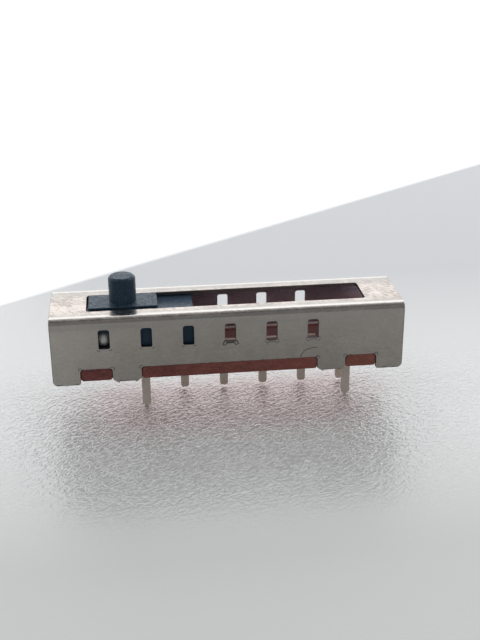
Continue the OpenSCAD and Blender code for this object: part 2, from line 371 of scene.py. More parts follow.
@dataclass(frozen=True)
class PlatedSteel:
    """Tin-plated sheet with marks from rolling and tumbling.

    Its cut faces are bare metal darkened with painted shade, its inner face is dulled with painted shade and
    a bluish painted reflection, and its grooves and lowest edges hold painted shade.
    """

    bright: Colour = (0.88, 0.795, 0.725)
    dull: Colour = (0.53, 0.465, 0.425)
    drawn: Colour = (0.55, 0.525, 0.50)
    # A painted highlight on the crease where the plate turns into the bend.
    polished: Colour = (0.95, 0.91, 0.865)
    # Bare cut metal, made much darker as painted shade for the shadowed cut edges and sills.
    sheared_and_shaded: Colour = (0.15, 0.135, 0.135)
    # The plating darkened with painted shade and tinted bluish as a painted reflection, for the inner faces.
    inside: Colour = (0.52, 0.52, 0.59)
    # A painted highlight: a bright, matt band low on the sheet's inner face.
    painted_band_highlight: Colour = (1.0, 0.93, 0.89)
    # A painted reflection of the board, as a band just above it on the sheet's inner face.
    resin: Colour = (0.50, 0.19, 0.165)
    # Painted shade, for the grooves, the lowest edges and the notches' top edges.
    painted_shade: Colour = (0.13, 0.125, 0.115)

    patches: Clouds = Clouds(0.55, 3.0, 0.4)
    specks: Clouds = Clouds(6.0, 4.0, 0.8)
    strokes: Clouds = Clouds(1.7, 3.0, 0.6, (0.7, 2.4, 3.0), (8.0, 12.0, 38.0))
    cross_strokes: Clouds = Clouds(1.5, 3.0, 0.6, (2.4, 0.8, 2.0), (0.0, 20.0, -34.0))
    ripples: Clouds = Clouds(1.7, 2.0, 0.6, (1.0, 1.6, 1.6), (0.0, 0.0, 24.0))
    die_lines: Clouds = Clouds(1.6, 3.0, stretch=(0.05, 1.8, 1.8))
    nicks: Clouds = Clouds(1.3)
    cross_share: float = 0.8
    speck_share: float = 0.35
    mark_share: float = 0.9
    stroke_share: float = 0.6
    mark_depth: float = 0.005
    ripple_depth: float = 0.020

    tumbled: Ramp = Ramp(6.2, 6.7, 0.22, 1.0)
    tone: Ramp = Ramp(1.27, 1.66, -0.5, 0.5)
    middle_tone: Ramp = Ramp(-0.5, 1.0, 0.0, 1.5)
    # Painted light across the walls: lighter to the left, darker to the right.
    lighter_left: Ramp = Ramp(-17.0, -5.0, 0.45, 0.0)
    darker_right: Ramp = Ramp(5.0, 15.0, 0.0, -0.16)
    wall_only: Ramp = Ramp(5.0, 6.6, 1.0, 0.0)
    bend_sides: Ramp = Ramp(2.3, 2.7)
    bend_height: Ramp = Ramp(5.2, 6.3, 0.04, 1.0)
    die_wear: Ramp = Ramp(0.36, 0.64, 0.15, 0.8)
    dull_rear: Ramp = Ramp(1.0, 2.4, 0.0, 0.45)
    crease: float = 3.3
    crease_width: Ramp = Ramp(0.12, 0.3, 0.85, 0.0)
    crease_height: Ramp = Ramp(6.5, 6.7)
    gloss: Ramp = Ramp(0.5, 1.1, 0.17, 0.29)
    highlight_roughness: float = 0.8
    rough_cut: float = 0.5
    rough_groove: float = 0.6

    highlight_height: float = 1.945
    highlight_reach: float = 0.08
    reflection_height: float = 1.665
    reflection_reach: float = 0.12
    band_fade: float = 0.08

    foot_height: Ramp = Ramp(0.10, 0.15, 1.0, 0.0)
    foot_nicks: Ramp = Ramp(0.40, 0.66, 0.07, -0.10)
    # Painted shade along the lowest edges and the notches' top edges.
    toe_shade: Ramp = Ramp(15.7, 16.2, 0.05, -0.03)
    notch_height: float = 1.60
    notch_line: Ramp = Ramp(0.01, 0.06, 0.7, 0.0)
    notch_end: Ramp = Ramp(14.28, 14.36, 1.0, 0.0)
    tab_centre: float = 9.925
    tab_side: Ramp = Ramp(1.34, 1.42)

    def material(self) -> bpy.types.Material:
        """Build the finish of the cover.

        Returns:
            The cover's material.
        """
        graph = Graph("plated_steel")
        patches, strokes = graph.noise(self.patches), graph.noise(self.strokes)
        marks = graph.sum(strokes, graph.noise(self.cross_strokes), self.cross_share)
        marks = graph.sum(marks, graph.noise(self.specks), self.speck_share)
        inner, edge, groove = (self.share(graph, mark) for mark in (Mark.INSIDE, Mark.CUT, Mark.GROOVE))
        # The painted highlight band low on the inner face.
        highlight_band = self.band(graph, inner, self.highlight_height, self.highlight_reach)
        # The painted reflection of the board on the inner face.
        painted_reflection_band = self.band(graph, inner, self.reflection_height, self.reflection_reach)
        colour = self.plating(graph, graph.sum(patches, marks, self.mark_share))
        # Inner faces: painted shade with a bluish painted reflection.
        colour = graph.mix(inner, colour, self.inside)
        colour = graph.mix(painted_reflection_band, colour, self.resin)
        colour = graph.mix(highlight_band, colour, self.painted_band_highlight)
        # Cut faces: bare metal darkened with painted shade.
        colour = graph.mix(edge, colour, self.sheared_and_shaded)
        # Painted shade in the grooves.
        colour = graph.mix(groove, colour, self.painted_shade)
        # Painted shade along the lowest edges and the notches' top edges.
        colour = graph.mix(self.by_foot(graph), colour, self.painted_shade)
        gloss = graph.ramp(graph.sum(patches, strokes, self.stroke_share), self.gloss)
        for share, level in ((highlight_band, self.highlight_roughness), (edge, self.rough_cut), (groove, self.rough_groove)):
            gloss = graph.blend(share, gloss, level)
        waves = graph.bump(graph.noise(self.ripples), self.ripple_depth, self.by_top(graph))
        normal = graph.bump(marks, self.mark_depth, below=waves)
        # The painted highlight band and the painted reflection band are not metal.
        bare = graph.ramp(graph.sum(highlight_band, painted_reflection_band), OPPOSITE)
        return graph.finish(colour, gloss, normal, metal=bare)

    def plating(self, graph: Graph, tone: Socket) -> Socket:
        """Colour the outer face, mottled on the plate and calm on the walls, with painted light that makes
        the walls lighter to the left and darker to the right, and a painted highlight along the crease into
        the bend.

        Args:
            graph: The finish's node tree.
            tone: The plate's mottling.

        Returns:
            A colour output.
        """
        # Painted light: the walls are made lighter to the left and darker to the right.
        side = graph.sum(
            graph.ramp(graph.along(Axis.X), self.lighter_left),
            graph.ramp(graph.along(Axis.X), self.darker_right),
        )
        lean = graph.product(side, graph.ramp(graph.along(Axis.Z), self.wall_only))
        mottled = graph.ramp(tone, self.tone)
        middle = graph.ramp(lean, self.middle_tone)
        calm = graph.work_out(Sum.MULTIPLY_ADD, mottled, self.by_top(graph), middle)
        colour = graph.mix(calm, self.dull, self.bright)
        worn = graph.product(self.by_bend(graph), graph.ramp(graph.noise(self.die_lines), self.die_wear))
        colour = graph.mix(worn, colour, self.drawn)
        colour = graph.mix(graph.ramp(graph.along(Axis.Y), self.dull_rear), colour, self.drawn)
        # Painted highlight along the crease.
        return graph.mix(self.by_crease(graph), colour, self.polished)

    def share(self, graph: Graph, mark: Mark) -> Socket:
        """Return a face attribute of the cover."""
        return graph.add("Attribute", attribute_name=mark.value).outputs["Fac"]

    def by_top(self, graph: Graph) -> Socket:
        """Return 1 on the top plate, where it was tumbled most, and less on the walls."""
        return graph.ramp(graph.along(Axis.Z), self.tumbled)

    def by_bend(self, graph: Graph) -> Socket:
        """Return up to 1 at the long bends, where the sheet was drawn over the die."""
        outer = graph.ramp(graph.away(graph.along(Axis.Y)), self.bend_sides)
        return graph.product(outer, graph.ramp(graph.along(Axis.Z), self.bend_height))

    def by_crease(self, graph: Graph) -> Socket:
        """Find the line where the plate turns into the bend, which holds a painted highlight.

        Args:
            graph: The finish's node tree.

        Returns:
            A value output, near 1 on the line.
        """
        side = graph.away(graph.along(Axis.Y))
        line = graph.ramp(graph.away(side, self.crease), self.crease_width)
        return graph.product(line, graph.ramp(graph.along(Axis.Z), self.crease_height))

    def by_foot(self, graph: Graph) -> Socket:
        """Find the lowest edges and the notches' top edges, which hold a ragged painted shade.

        Args:
            graph: The finish's node tree.

        Returns:
            A value output, 1 on the painted shade.
        """
        side = graph.away(graph.along(Axis.X))
        ragged = graph.ramp(graph.noise(self.nicks), self.foot_nicks)
        ragged = graph.sum(ragged, graph.ramp(side, self.toe_shade))
        height = graph.work_out(Sum.ADD, graph.along(Axis.Z), ragged)
        foot = graph.ramp(height, self.foot_height)
        notch = graph.ramp(graph.away(height, self.notch_height), self.notch_line)
        beside_tab = graph.ramp(graph.away(side, self.tab_centre), self.tab_side)
        for open_edge in (beside_tab, graph.ramp(side, self.notch_end)):
            notch = graph.product(notch, open_edge)
        return graph.work_out(Sum.LARGER, foot, notch)

    def band(self, graph: Graph, inner: Socket, height: float, reach: float) -> Socket:
        """Find a level band on the sheet's inner face.

        Args:
            graph: The finish's node tree.
            inner: 1 on the sheet's inner face.
            height: The band's middle.
            reach: Half its width.

        Returns:
            A value output, 1 on the band.
        """
        away = graph.away(graph.along(Axis.Z), height)
        line = graph.ramp(away, Ramp(reach, reach + self.band_fade, 1.0, 0.0))
        return graph.product(line, inner)


@dataclass(frozen=True)
class Phenolic:
    """Red-brown resin board with paper fibres that run along it."""

    dark: Colour = (0.17, 0.042, 0.042)
    light: Colour = (0.32, 0.090, 0.080)
    warm: Colour = (0.46, 0.155, 0.10)
    fibre: Colour = (0.56, 0.25, 0.18)
    # Painted light that lightens the board's top face towards the rear.
    painted_light: Colour = (0.465, 0.22, 0.215)

    clouds: Clouds = Clouds(0.9, 4.0, 0.5, (1.0, 1.0, 2.5))
    strands: Clouds = Clouds(3.6, 4.0, 0.4, (1.0, 2.5, 3.0))
    grain: Clouds = Clouds(14.0, 3.0)
    grain_share: float = 0.6
    grain_depth: float = 0.006

    cloud_tone: Ramp = Ramp(0.35, 0.7)
    warmer_right: Ramp = Ramp(-16.0, 16.0, 0.0, 0.55)
    strand_tone: Ramp = Ramp(0.55, 0.75, 0.0, 0.6)
    upper_face: Ramp = Ramp(1.50, 1.57)
    painted_light_rear: Ramp = Ramp(1.4, 3.2, 0.15, 1.0)
    gloss: Ramp = Ramp(0.3, 0.7, 0.42, 0.58)

    def material(self) -> bpy.types.Material:
        """Build the finish of the base board.

        Returns:
            The board's material.
        """
        graph = Graph("phenolic")
        strands, grain = graph.noise(self.strands), graph.noise(self.grain)
        colour = graph.mix(graph.ramp(graph.noise(self.clouds), self.cloud_tone), self.dark, self.light)
        colour = graph.mix(graph.ramp(graph.along(Axis.X), self.warmer_right), colour, self.warm)
        colour = graph.mix(graph.ramp(strands, self.strand_tone), colour, self.fibre)
        # Painted light on the top face, stronger towards the rear.
        upper = graph.ramp(graph.along(Axis.Z), self.upper_face)
        pale = graph.product(upper, graph.ramp(graph.along(Axis.Y), self.painted_light_rear))
        colour = graph.mix(pale, colour, self.painted_light)
        normal = graph.bump(graph.sum(strands, grain, self.grain_share), self.grain_depth)
        return graph.finish(colour, graph.ramp(grain, self.gloss), normal)


@dataclass(frozen=True)
class TinnedStrip:
    """Stamped strip with a dull tin coat and lines drawn down the pins."""

    bright: Colour = (1.0, 0.90, 0.81)
    dull: Colour = (0.94, 0.81, 0.70)
    metal: float = 0.1

    clouds: Clouds = Clouds(1.4, 3.0, 0.6)
    lines: Clouds = Clouds(2.0, 3.0, 0.2, (7.0, 7.0, 0.8))
    line_share: float = 0.6
    line_depth: float = 0.008
    tone: Ramp = Ramp(0.55, 1.05)
    gloss: Ramp = Ramp(0.3, 0.7, 0.46, 0.62)

    def material(self) -> bpy.types.Material:
        """Build the finish of the terminals.

        Returns:
            The terminals' material.
        """
        graph = Graph("tinned_strip")
        clouds, lines = graph.noise(self.clouds), graph.noise(self.lines)
        tone = graph.ramp(graph.sum(clouds, lines, self.line_share), self.tone)
        colour = graph.mix(tone, self.dull, self.bright)
        normal = graph.bump(lines, self.line_depth)
        return graph.finish(colour, graph.ramp(clouds, self.gloss), normal, metal=self.metal)


@dataclass(frozen=True)
class MouldedPlastic:
    """Blue-black resin with the fine grain of a sparked mould."""

    dark: Colour = (0.012, 0.029, 0.052)
    light: Colour = (0.024, 0.053, 0.088)
    speck: Colour = (0.115, 0.142, 0.170)
    sheen: Colour = (0.62, 0.82, 1.0)

    grain: Clouds = Clouds(2.8, 2.0, 0.3)
    clouds: Clouds = Clouds(1.1, 3.0, 0.4)
    dust: Clouds = Clouds(6.0, 2.0, 0.2)
    grain_share: float = 0.5
    grain_depth: float = 0.07
    sunk_roughness: float = 0.36

    tone: Ramp = Ramp(0.5, 1.0)
    facing_up: Ramp = Ramp(0.6, 0.9, 0.25, 1.0)
    below_plate: Ramp = Ramp(6.45, 6.7, 1.0, 0.0)
    under_rear_rim: Ramp = Ramp(-0.8, 0.8)
    dust_tone: Ramp = Ramp(0.46, 0.66)
    gloss: Ramp = Ramp(0.3, 0.7, 0.26, 0.50)

    def material(self) -> bpy.types.Material:
        """Build the finish of the slider.

        The step that runs below the plate is matt at its rear, and there its flats hold none of the light
        dust, as a painted shade where the plate's rear edge shadows the step.

        Returns:
            The slider's material.
        """
        graph = Graph("black_plastic")
        grain = graph.noise(self.grain)
        tone = graph.ramp(graph.sum(graph.noise(self.clouds), grain, self.grain_share), self.tone)
        colour = graph.mix(tone, self.dark, self.light)
        upward = graph.add("SeparateXYZ", {0: graph.add("NewGeometry").outputs["Normal"]}).outputs["Z"]
        flat = graph.ramp(upward, self.facing_up)
        low = graph.ramp(graph.along(Axis.Z), self.below_plate)
        # The step's rear, under the plate's rear edge, loses its light specks as painted shade.
        sunk = graph.product(low, graph.ramp(graph.along(Axis.Y), self.under_rear_rim))
        flats_outside_shade = graph.product(flat, graph.ramp(sunk, OPPOSITE))
        dusty = graph.product(flats_outside_shade, graph.ramp(graph.noise(self.dust), self.dust_tone))
        colour = graph.mix(dusty, colour, self.speck)
        gloss = graph.sum(graph.ramp(grain, self.gloss), sunk, self.sunk_roughness)
        normal = graph.bump(grain, self.grain_depth, flat)
        graph.surface.inputs["Specular Tint"].default_value = rgba(self.sheen)
        return graph.finish(colour, gloss, normal)


@dataclass(frozen=True)
class PolishedSteel:
    """Bright metal with faint clouding, for balls and wire."""

    name: str
    colour: Colour
    gloss: Ramp
    metal: float = 1.0
    shade: float = 0.86
    clouds: Clouds = Clouds(2.2, 3.0, 0.4)
    tone: Ramp = Ramp(0.35, 0.65)

    def material(self) -> bpy.types.Material:
        """Build the finish of a ball or a spring.

        Returns:
            The metal's material.
        """
        graph = Graph(self.name)
        clouds = graph.noise(self.clouds)
        clouded = tuple(self.shade * part for part in self.colour)
        colour = graph.mix(graph.ramp(clouds, self.tone), clouded, self.colour)
        return graph.finish(colour, graph.ramp(clouds, self.gloss), metal=self.metal)


@dataclass(frozen=True)
class BronzeStrip:
    """Rolled spring bronze, brighter where it rubs."""

    bright: Colour = (0.86, 0.60, 0.34)
    dull: Colour = (0.66, 0.42, 0.22)
    lines: Clouds = Clouds(2.0, 3.0, stretch=(0.8, 8.0, 3.0))
    line_depth: float = 0.002
    tone: Ramp = Ramp(0.35, 0.65)
    gloss: Ramp = Ramp(0.35, 0.65, 0.22, 0.34)

    def material(self) -> bpy.types.Material:
        """Build the finish of the moving contact.

        Returns:
            The contact's material.
        """
        graph = Graph("bronze")
        lines = graph.noise(self.lines)
        colour = graph.mix(graph.ramp(lines, self.tone), self.dull, self.bright)
        normal = graph.bump(lines, self.line_depth)
        return graph.finish(colour, graph.ramp(lines, self.gloss), normal, metal=1.0)


def select_only(*pieces: bpy.types.Object) -> None:
    """Make some objects the only selected ones, and the first the active one.

    Args:
        pieces: The objects.
    """
    bpy.ops.object.select_all(action="DESELECT")
    for piece in pieces:
        piece.select_set(True)
    bpy.context.view_layer.objects.active = pieces[0]


def add_object(name: str, data: bpy.types.ID) -> bpy.types.Object:
    """Put new data into the scene.

    Args:
        name: The object's name.
        data: A curve, a lamp or a camera.

    Returns:
        The new object.
    """
    thing = bpy.data.objects.new(name, data)
    bpy.context.scene.collection.objects.link(thing)
    return thing


def dress(piece: bpy.types.Object, material: bpy.types.Material) -> None:
    """Give a piece one material."""
    piece.data.materials.clear()
    piece.data.materials.append(material)


def dress_node(node: str, material: bpy.types.Material) -> None:
    """Dress a frame node that is shown as it stands.

    Args:
        node: The node's name.
        material: Its finish.
    """
    piece = frame["nodes"][node]
    dress(piece, material)
    LOG.info("%s: %d faces, as it stands", node, len(piece.data.polygons))


def smooth(piece: bpy.types.Object) -> None:
    """Shade a piece smooth across its rounds, and keep its flats flat.

    Args:
        piece: The piece.
    """
    select_only(piece)
    bpy.ops.object.shade_smooth_by_angle(angle=math.radians(SHARP_ANGLE))
    flats = piece.modifiers.new("flats", "WEIGHTED_NORMAL")
    flats.keep_sharp = True
    flats.weight = FLAT_WEIGHT
    bpy.ops.object.modifier_apply(modifier=flats.name)


def merged_copy(node: str) -> bpy.types.Object:
    """Copy a frame node and merge the copy's loose triangles to whole faces.

    Args:
        node: The node's name.

    Returns:
        The copy, which belongs to no body yet.
    """
    select_only(frame["nodes"][node])
    bpy.ops.object.duplicate()
    piece = bpy.context.view_layer.objects.active
    piece.parent = None
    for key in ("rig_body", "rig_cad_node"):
        if key in piece:
            del piece[key]
    piece.name = node + "_finished"
    bpy.ops.object.mode_set(mode="EDIT")
    bpy.ops.mesh.select_all(action="SELECT")
    bpy.ops.mesh.remove_doubles(threshold=WELD * MM)
    bpy.ops.mesh.dissolve_limited(angle_limit=math.radians(FLATNESS))
    bpy.ops.object.mode_set(mode="OBJECT")
    return piece


def set_in_place(
    piece: bpy.types.Object, node: str, body: Body, material: bpy.types.Material
) -> None:
    """Dress a finished piece and put it in its node's place.

    Args:
        piece: The finished piece.
        node: The frame node that it stands for.
        body: The body that it rides on.
        material: Its finish.
    """
    dress(piece, material)
    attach(piece, body.value)
    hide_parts(node)
    LOG.info("%s: %d faces", piece.name, len(piece.data.polygons))


@dataclass(frozen=True)
class EdgeBreak:
    """A small round on the edges of a piece that are sharper than an angle."""

    width: float
    segments: int = 2
    angle: float = SHARP_ANGLE

    def apply(self, piece: bpy.types.Object, chosen: Callable[[Vector], bool] | None = None) -> None:
        """Round the piece's sharp edges.

        Args:
            piece: A mesh whose doubles are merged.
            chosen: Whether a point, in millimetres, lies on an edge that is rounded.
        """
        select_only(piece)
        bpy.ops.object.mode_set(mode="EDIT")
        bpy.ops.mesh.select_mode(type="EDGE")
        bpy.ops.mesh.select_all(action="DESELECT")
        bpy.ops.mesh.edges_select_sharp(sharpness=math.radians(self.angle))
        bpy.ops.object.mode_set(mode="OBJECT")
        if chosen is not None:
            self.keep(piece.data, chosen)
        bpy.ops.object.mode_set(mode="EDIT")
        bpy.ops.mesh.bevel(
            offset=self.width * MM, segments=self.segments, affect="EDGES", clamp_overlap=False
        )
        bpy.ops.object.mode_set(mode="OBJECT")

    def keep(self, mesh: bpy.types.Mesh, chosen: Callable[[Vector], bool]) -> None:
        """Leave only the chosen ones of a mesh's selected edges selected.

        Args:
            mesh: The mesh.
            chosen: Whether a point, in millimetres, lies on an edge that is kept.
        """
        for edge in mesh.edges:
            ends = (mesh.vertices[end] for end in edge.vertices)
            edge.select = edge.select and all(chosen(end.co / MM) for end in ends)
        picked = {end for edge in mesh.edges if edge.select for end in edge.vertices}
        for point in mesh.vertices:
            point.select = point.index in picked
        for face in mesh.polygons:
            face.select = False


@dataclass(frozen=True)
class Groove:
    """A fine line pressed or scratched into the front wall, along points in X and Z."""

    points: Outline
    radius: float
    depth: float
    closed: bool = False

    def moved(self, x: float, z: float) -> "Groove":
        """Return the same groove at a place that its points are measured from."""
        return replace(self, points=tuple((x + across, z + up) for across, up in self.points))

    def covers(self, x: float, z: float) -> bool:
        """Say whether a place on the wall lies in the groove.

        Args:
            x: How far across it is.
            z: How high it is.

        Returns:
            Whether the groove's line is nearer than its radius.
        """
        place = Vector((x, z))
        ends = self.points[1:] + (self.points[:1] if self.closed else ())
        for start, end in zip(self.points, ends):
            first, along = Vector(start), Vector(end) - Vector(start)
            share = min(1.0, max(0.0, (place - first).dot(along) / along.length_squared))
            if (place - first - share * along).length < self.radius:
                return True
        return False

    def cutter(self, name: str, wall: float) -> bpy.types.Object:
        """Lay a round wire along the groove, as deep in the wall as the groove is.

        Args:
            name: The wire's name.
            wall: The wall's outer face.

        Returns:
            The wire, a curve.
        """
        data = bpy.data.curves.new(name, "CURVE")
        data.dimensions = "3D"
        data.bevel_depth = self.radius * MM
        data.bevel_resolution = CUTTER_STEPS
        data.use_fill_caps = True
        line = data.splines.new("POLY")
        line.points.add(len(self.points) - 1)
        line.use_cyclic_u = self.closed
        y = wall - (self.radius - self.depth)
        for point, (x, z) in zip(line.points, self.points):
            point.co = (x * MM, y * MM, z * MM, 1.0)
        return add_object(name, data)


@dataclass(frozen=True)
class PressMarks:
    """What the press tool left on the front wall.

    The marks under a window are measured from the middle of its lower edge.
    """

    scratch: Groove = Groove(
        ((6.86, 1.66), (6.94, 1.95), (7.20, 2.30), (7.55, 2.52), (7.97, 2.60), (8.49, 2.62)),
        radius=0.035,
        depth=0.02,
    )
    left_tick: Groove = Groove(((-0.66, -0.06), (-0.56, -0.18), (-0.42, -0.20)), 0.035, 0.018)
    right_tick: Groove = Groove(((0.46, -0.18), (0.60, -0.14), (0.70, -0.04)), 0.035, 0.018)
    lug: Groove = Groove(
        (
            (-0.60, 0.20), (-0.64, 0.02), (-0.75, -0.22), (-0.55, -0.26), (-0.30, -0.05),
            (0.34, -0.03), (0.52, -0.28), (0.76, -0.14), (0.66, 0.04), (0.62, 0.24),
        ),
        radius=0.052,
        depth=0.04,
    )
    table: Groove = Groove(
        (
            (-0.66, 0.06), (-0.62, -0.16), (-0.44, -0.30), (-0.22, -0.14), (0.28, -0.12),
            (0.50, -0.32), (0.70, -0.14), (0.66, 0.10), (0.30, 0.02), (-0.30, 0.0),
        ),
        radius=0.034,
        depth=0.022,
        closed=True,
    )
    faint_radius: float = 0.026
    faint_depth: float = 0.014
    arc_reach: float = 0.17
    arc_radius: float = 0.034
    arc_depth: float = 0.022
    arc_drop: float = 0.02
    arc_turns: range = range(150, -51, -25)

    def by_window(self) -> list[tuple[Groove, ...]]:
        """List the marks under each window, from the left.

        Returns:
            The grooves, two light ticks at the left and closed outlines at the right.
        """
        ticks = (self.left_tick, self.right_tick)
        faint_table = replace(self.table, radius=self.faint_radius, depth=self.faint_depth)
        return [ticks, ticks, ticks, (self.lug,), (self.table,), (faint_table,)]

    def round_corner(self, x: float, z: float, side: int) -> Groove:
        """Draw the arc that the notch punch left round one of its corners.

        Args:
            x: The corner's place.
            z: The corner's height.
            side: -1 for a notch's left corner and 1 for its right one.

        Returns:
            The groove.
        """
        arc = []
        for degrees in self.arc_turns:
            turn = math.radians(degrees)
            across = side * self.arc_reach * math.cos(turn)
            arc.append((x + across, z - self.arc_drop + self.arc_reach * math.sin(turn)))
        return Groove(tuple(arc), self.arc_radius, self.arc_depth)

    def cut(self, piece: bpy.types.Object, grooves: list[Groove], wall: float) -> None:
        """Cut grooves into the front wall.

        Args:
            piece: The cover.
            grooves: The lines to cut.
            wall: The wall's outer face.
        """
        select_only(*(groove.cutter(f"cutter_{number}", wall) for number, groove in enumerate(grooves)))
        bpy.ops.object.convert(target="MESH")
        bpy.ops.object.join()
        tool = bpy.context.view_layer.objects.active
        bpy.ops.object.mode_set(mode="EDIT")
        bpy.ops.mesh.select_all(action="SELECT")
        bpy.ops.mesh.remove_doubles(threshold=TOOL_WELD * MM)
        bpy.ops.mesh.normals_make_consistent(inside=False)
        bpy.ops.object.mode_set(mode="OBJECT")
        select_only(piece)
        cut = piece.modifiers.new("marks", "BOOLEAN")
        cut.operation = "DIFFERENCE"
        cut.solver = "MANIFOLD"
        cut.object = tool
        bpy.ops.object.modifier_apply(modifier=cut.name)
        bpy.data.objects.remove(tool)
        bpy.ops.object.mode_set(mode="EDIT")
        bpy.ops.mesh.select_all(action="SELECT")
        bpy.ops.mesh.dissolve_limited(angle_limit=math.radians(FLATNESS))
        bpy.ops.object.mode_set(mode="OBJECT")


@dataclass
class Cover:
    """The folded cover, its outer edges rolled by the punch and its walls marked.

    The notch edges run from the ends inwards, and their ways are 1 for a notch's
    outer corner and -1 for its inner one. The slacks let a test of place find the
    faces and points that lie a little off the sheet's true planes.
    """

    sheet: float = 0.35
    bend: float = 0.65
    window_height: float = 1.95
    window_rise: float = 0.3
    window_shift: float = 0.05
    windows_end: float = 15.0
    windows_foot: float = 3.0
    windows_top: float = 6.0
    notch_top: float = 1.59
    notch_edges: tuple[float, ...] = (14.35, 11.30, 8.55)
    notch_ways: tuple[int, ...] = (1, -1, 1)
    roll_stop: float = 0.5
    tongue_centre: float = 9.925
    tongue_reach: float = 0.76
    tongue_top: float = 0.46
    end_line: float = 16.9
    end_top: float = 6.3
    end_lean: float = 0.25
    side_lean: float = 0.7
    cut_lean: float = 0.35
    # Slot edges take this share of the cut faces' colour and its painted shade.
    slot_share: float = 0.65
    sunk_from: float = 0.002
    sunk_to: float = 0.12
    slack: float = 0.01
    face_slack: float = 0.02
    wall_slack: float = 0.006
    bend_slack: float = 0.012
    roll: EdgeBreak = EdgeBreak(0.06, segments=3, angle=50.0)
    window_roll: EdgeBreak = EdgeBreak(0.015, segments=1, angle=50.0)
    marks: PressMarks = PressMarks()
    steel: PlatedSteel = PlatedSteel()

    def __post_init__(self) -> None:
        """Read the cover's width and height from the frame."""
        _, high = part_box("cover")
        self.half, self.top = high[1] / MM, high[2] / MM

    def on_outside(self, point: Vector) -> bool:
        """Say whether a point lies on the outer face, above the tongues.

        Args:
            point: A point of the cover.

        Returns:
            Whether it lies on the walls, the bends or the plate, where they face outwards.
        """
        y, z = abs(point.y), point.z
        wall, plate = self.half - self.bend, self.top - self.bend
        if abs(point.x) < self.notch_edges[1] and z < self.roll_stop:
            return False
        if z < plate + self.slack:
            return abs(y - self.half) < self.wall_slack
        if y < wall + self.slack:
            return abs(z - self.top) < self.wall_slack
        return abs(math.hypot(y - wall, z - plate) - self.bend) < self.bend_slack

    def on_window(self, point: Vector) -> bool:
        """Say whether a point of the outer face lies on a window's edge."""
        beside = abs(point.x) < self.windows_end
        return self.on_outside(point) and beside and self.windows_foot < point.z < self.windows_top

    def off_window(self, point: Vector) -> bool:
        """Say whether a point of the outer face lies on any other edge."""
        return self.on_outside(point) and not self.on_window(point)

    def grooves(self) -> list[Groove]:
        """Place every mark on the front wall.

        Returns:
            The scratch, the marks under the windows and the arcs round the notches.
        """
        low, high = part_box("detent_ball_front")
        first = (low[0] + high[0]) / 2 / MM + self.window_shift
        sill = (low[2] + high[2]) / 2 / MM + self.window_rise - self.window_height / 2
        pitch = (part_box("throw_terminal_2")[0][0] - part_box("throw_terminal_1")[0][0]) / MM
        lines = [self.marks.scratch]
        for number, marks in enumerate(self.marks.by_window()):
            lines += [mark.moved(first + number * pitch, sill) for mark in marks]
        for side in (-1, 1):
            for edge, way in zip(self.notch_edges, self.notch_ways):
                lines.append(self.marks.round_corner(edge * side, self.notch_top, way * side))
        return lines

    def cut_share(self, middle: Vector, normal: Vector) -> float:
        """Say how far a face shows the bare metal of a cut, which is also darkened with painted shade.

        Args:
            middle: The face's middle.
            normal: The way that it faces.

        Returns:
            1 for a face the punch cut, less on the slot's edges, and 0 for any other face.
        """
        x, y, z = abs(middle.x), abs(middle.y), middle.z
        on_plate = z > self.top - self.sheet - self.face_slack and y < self.half - self.bend
        if on_plate and abs(normal.z) < self.cut_lean:
            return self.slot_share
        at_end = x > self.end_line and z < self.end_top
        if abs(normal.x) > (self.end_lean if at_end else self.side_lean):
            return 1.0
        on_wall = y > self.half - self.sheet - self.face_slack and z < self.top - self.bend
        in_tongue = z < self.tongue_top and abs(x - self.tongue_centre) < self.tongue_reach
        return float(on_wall and not in_tongue and abs(normal.y) < self.cut_lean)

    def is_inner(self, middle: Vector) -> bool:
        """Say whether the middle of a face lies on the inside of the sheet."""
        under = middle.z < self.top - self.sheet + self.slack
        return under and abs(middle.y) < self.half - self.sheet + self.slack

    def mark_faces(self, piece: bpy.types.Object, grooves: list[Groove]) -> None:
        """Give the cut, inner and grooved faces an attribute each, and keep the grooves' rims sharp.

        Args:
            piece: The cover.
            grooves: The lines that were cut into it.
        """
        layers = [piece.data.attributes.new(mark.value, "FLOAT", "FACE").name for mark in Mark]
        cut, inner, painted_shade = (piece.data.attributes[name].data for name in layers)
        sides: dict[tuple[int, int], set[bool]] = {}
        for face in piece.data.polygons:
            middle = face.center / MM
            sunk = self.sunk_from < middle.y + self.half < self.sunk_to
            grooved = sunk and any(line.covers(middle.x, middle.z) for line in grooves)
            cut[face.index].value = self.cut_share(middle, face.normal)
            inner[face.index].value = float(self.is_inner(middle))
            painted_shade[face.index].value = float(grooved)
            for key in face.edge_keys:
                sides.setdefault(key, set()).add(grooved)
        for edge in piece.data.edges:
            if len(sides[edge.key]) == 2:
                edge.use_edge_sharp = True

    def build(self) -> None:
        """Finish the cover."""
        piece = merged_copy("cover")
        grooves = self.grooves()
        self.roll.apply(piece, self.off_window)
        self.window_roll.apply(piece, self.on_window)
        self.marks.cut(piece, grooves, -self.half)
        self.mark_faces(piece, grooves)
        smooth(piece)
        set_in_place(piece, "cover", Body.HOUSING, self.steel.material())


@dataclass
class Base:
    """The board and the seven terminals that it holds."""

    throws: int = 6
    board_edge: EdgeBreak = EdgeBreak(0.02)
    terminal_edge: EdgeBreak = EdgeBreak(0.035)
    resin: Phenolic = Phenolic()
    tin: TinnedStrip = TinnedStrip()

    def build(self) -> None:
        """Finish the board and its terminals."""
        board = merged_copy("base_board")
        self.board_edge.apply(board)
        smooth(board)
        set_in_place(board, "base_board", Body.HOUSING, self.resin.material())
        tin = self.tin.material()
        names = [f"throw_terminal_{number}" for number in range(1, self.throws + 1)]
        for node in (*names, "common_terminal"):
            blade = merged_copy(node)
            self.terminal_edge.apply(blade)
            smooth(blade)
            set_in_place(blade, node, Body.HOUSING, tin)


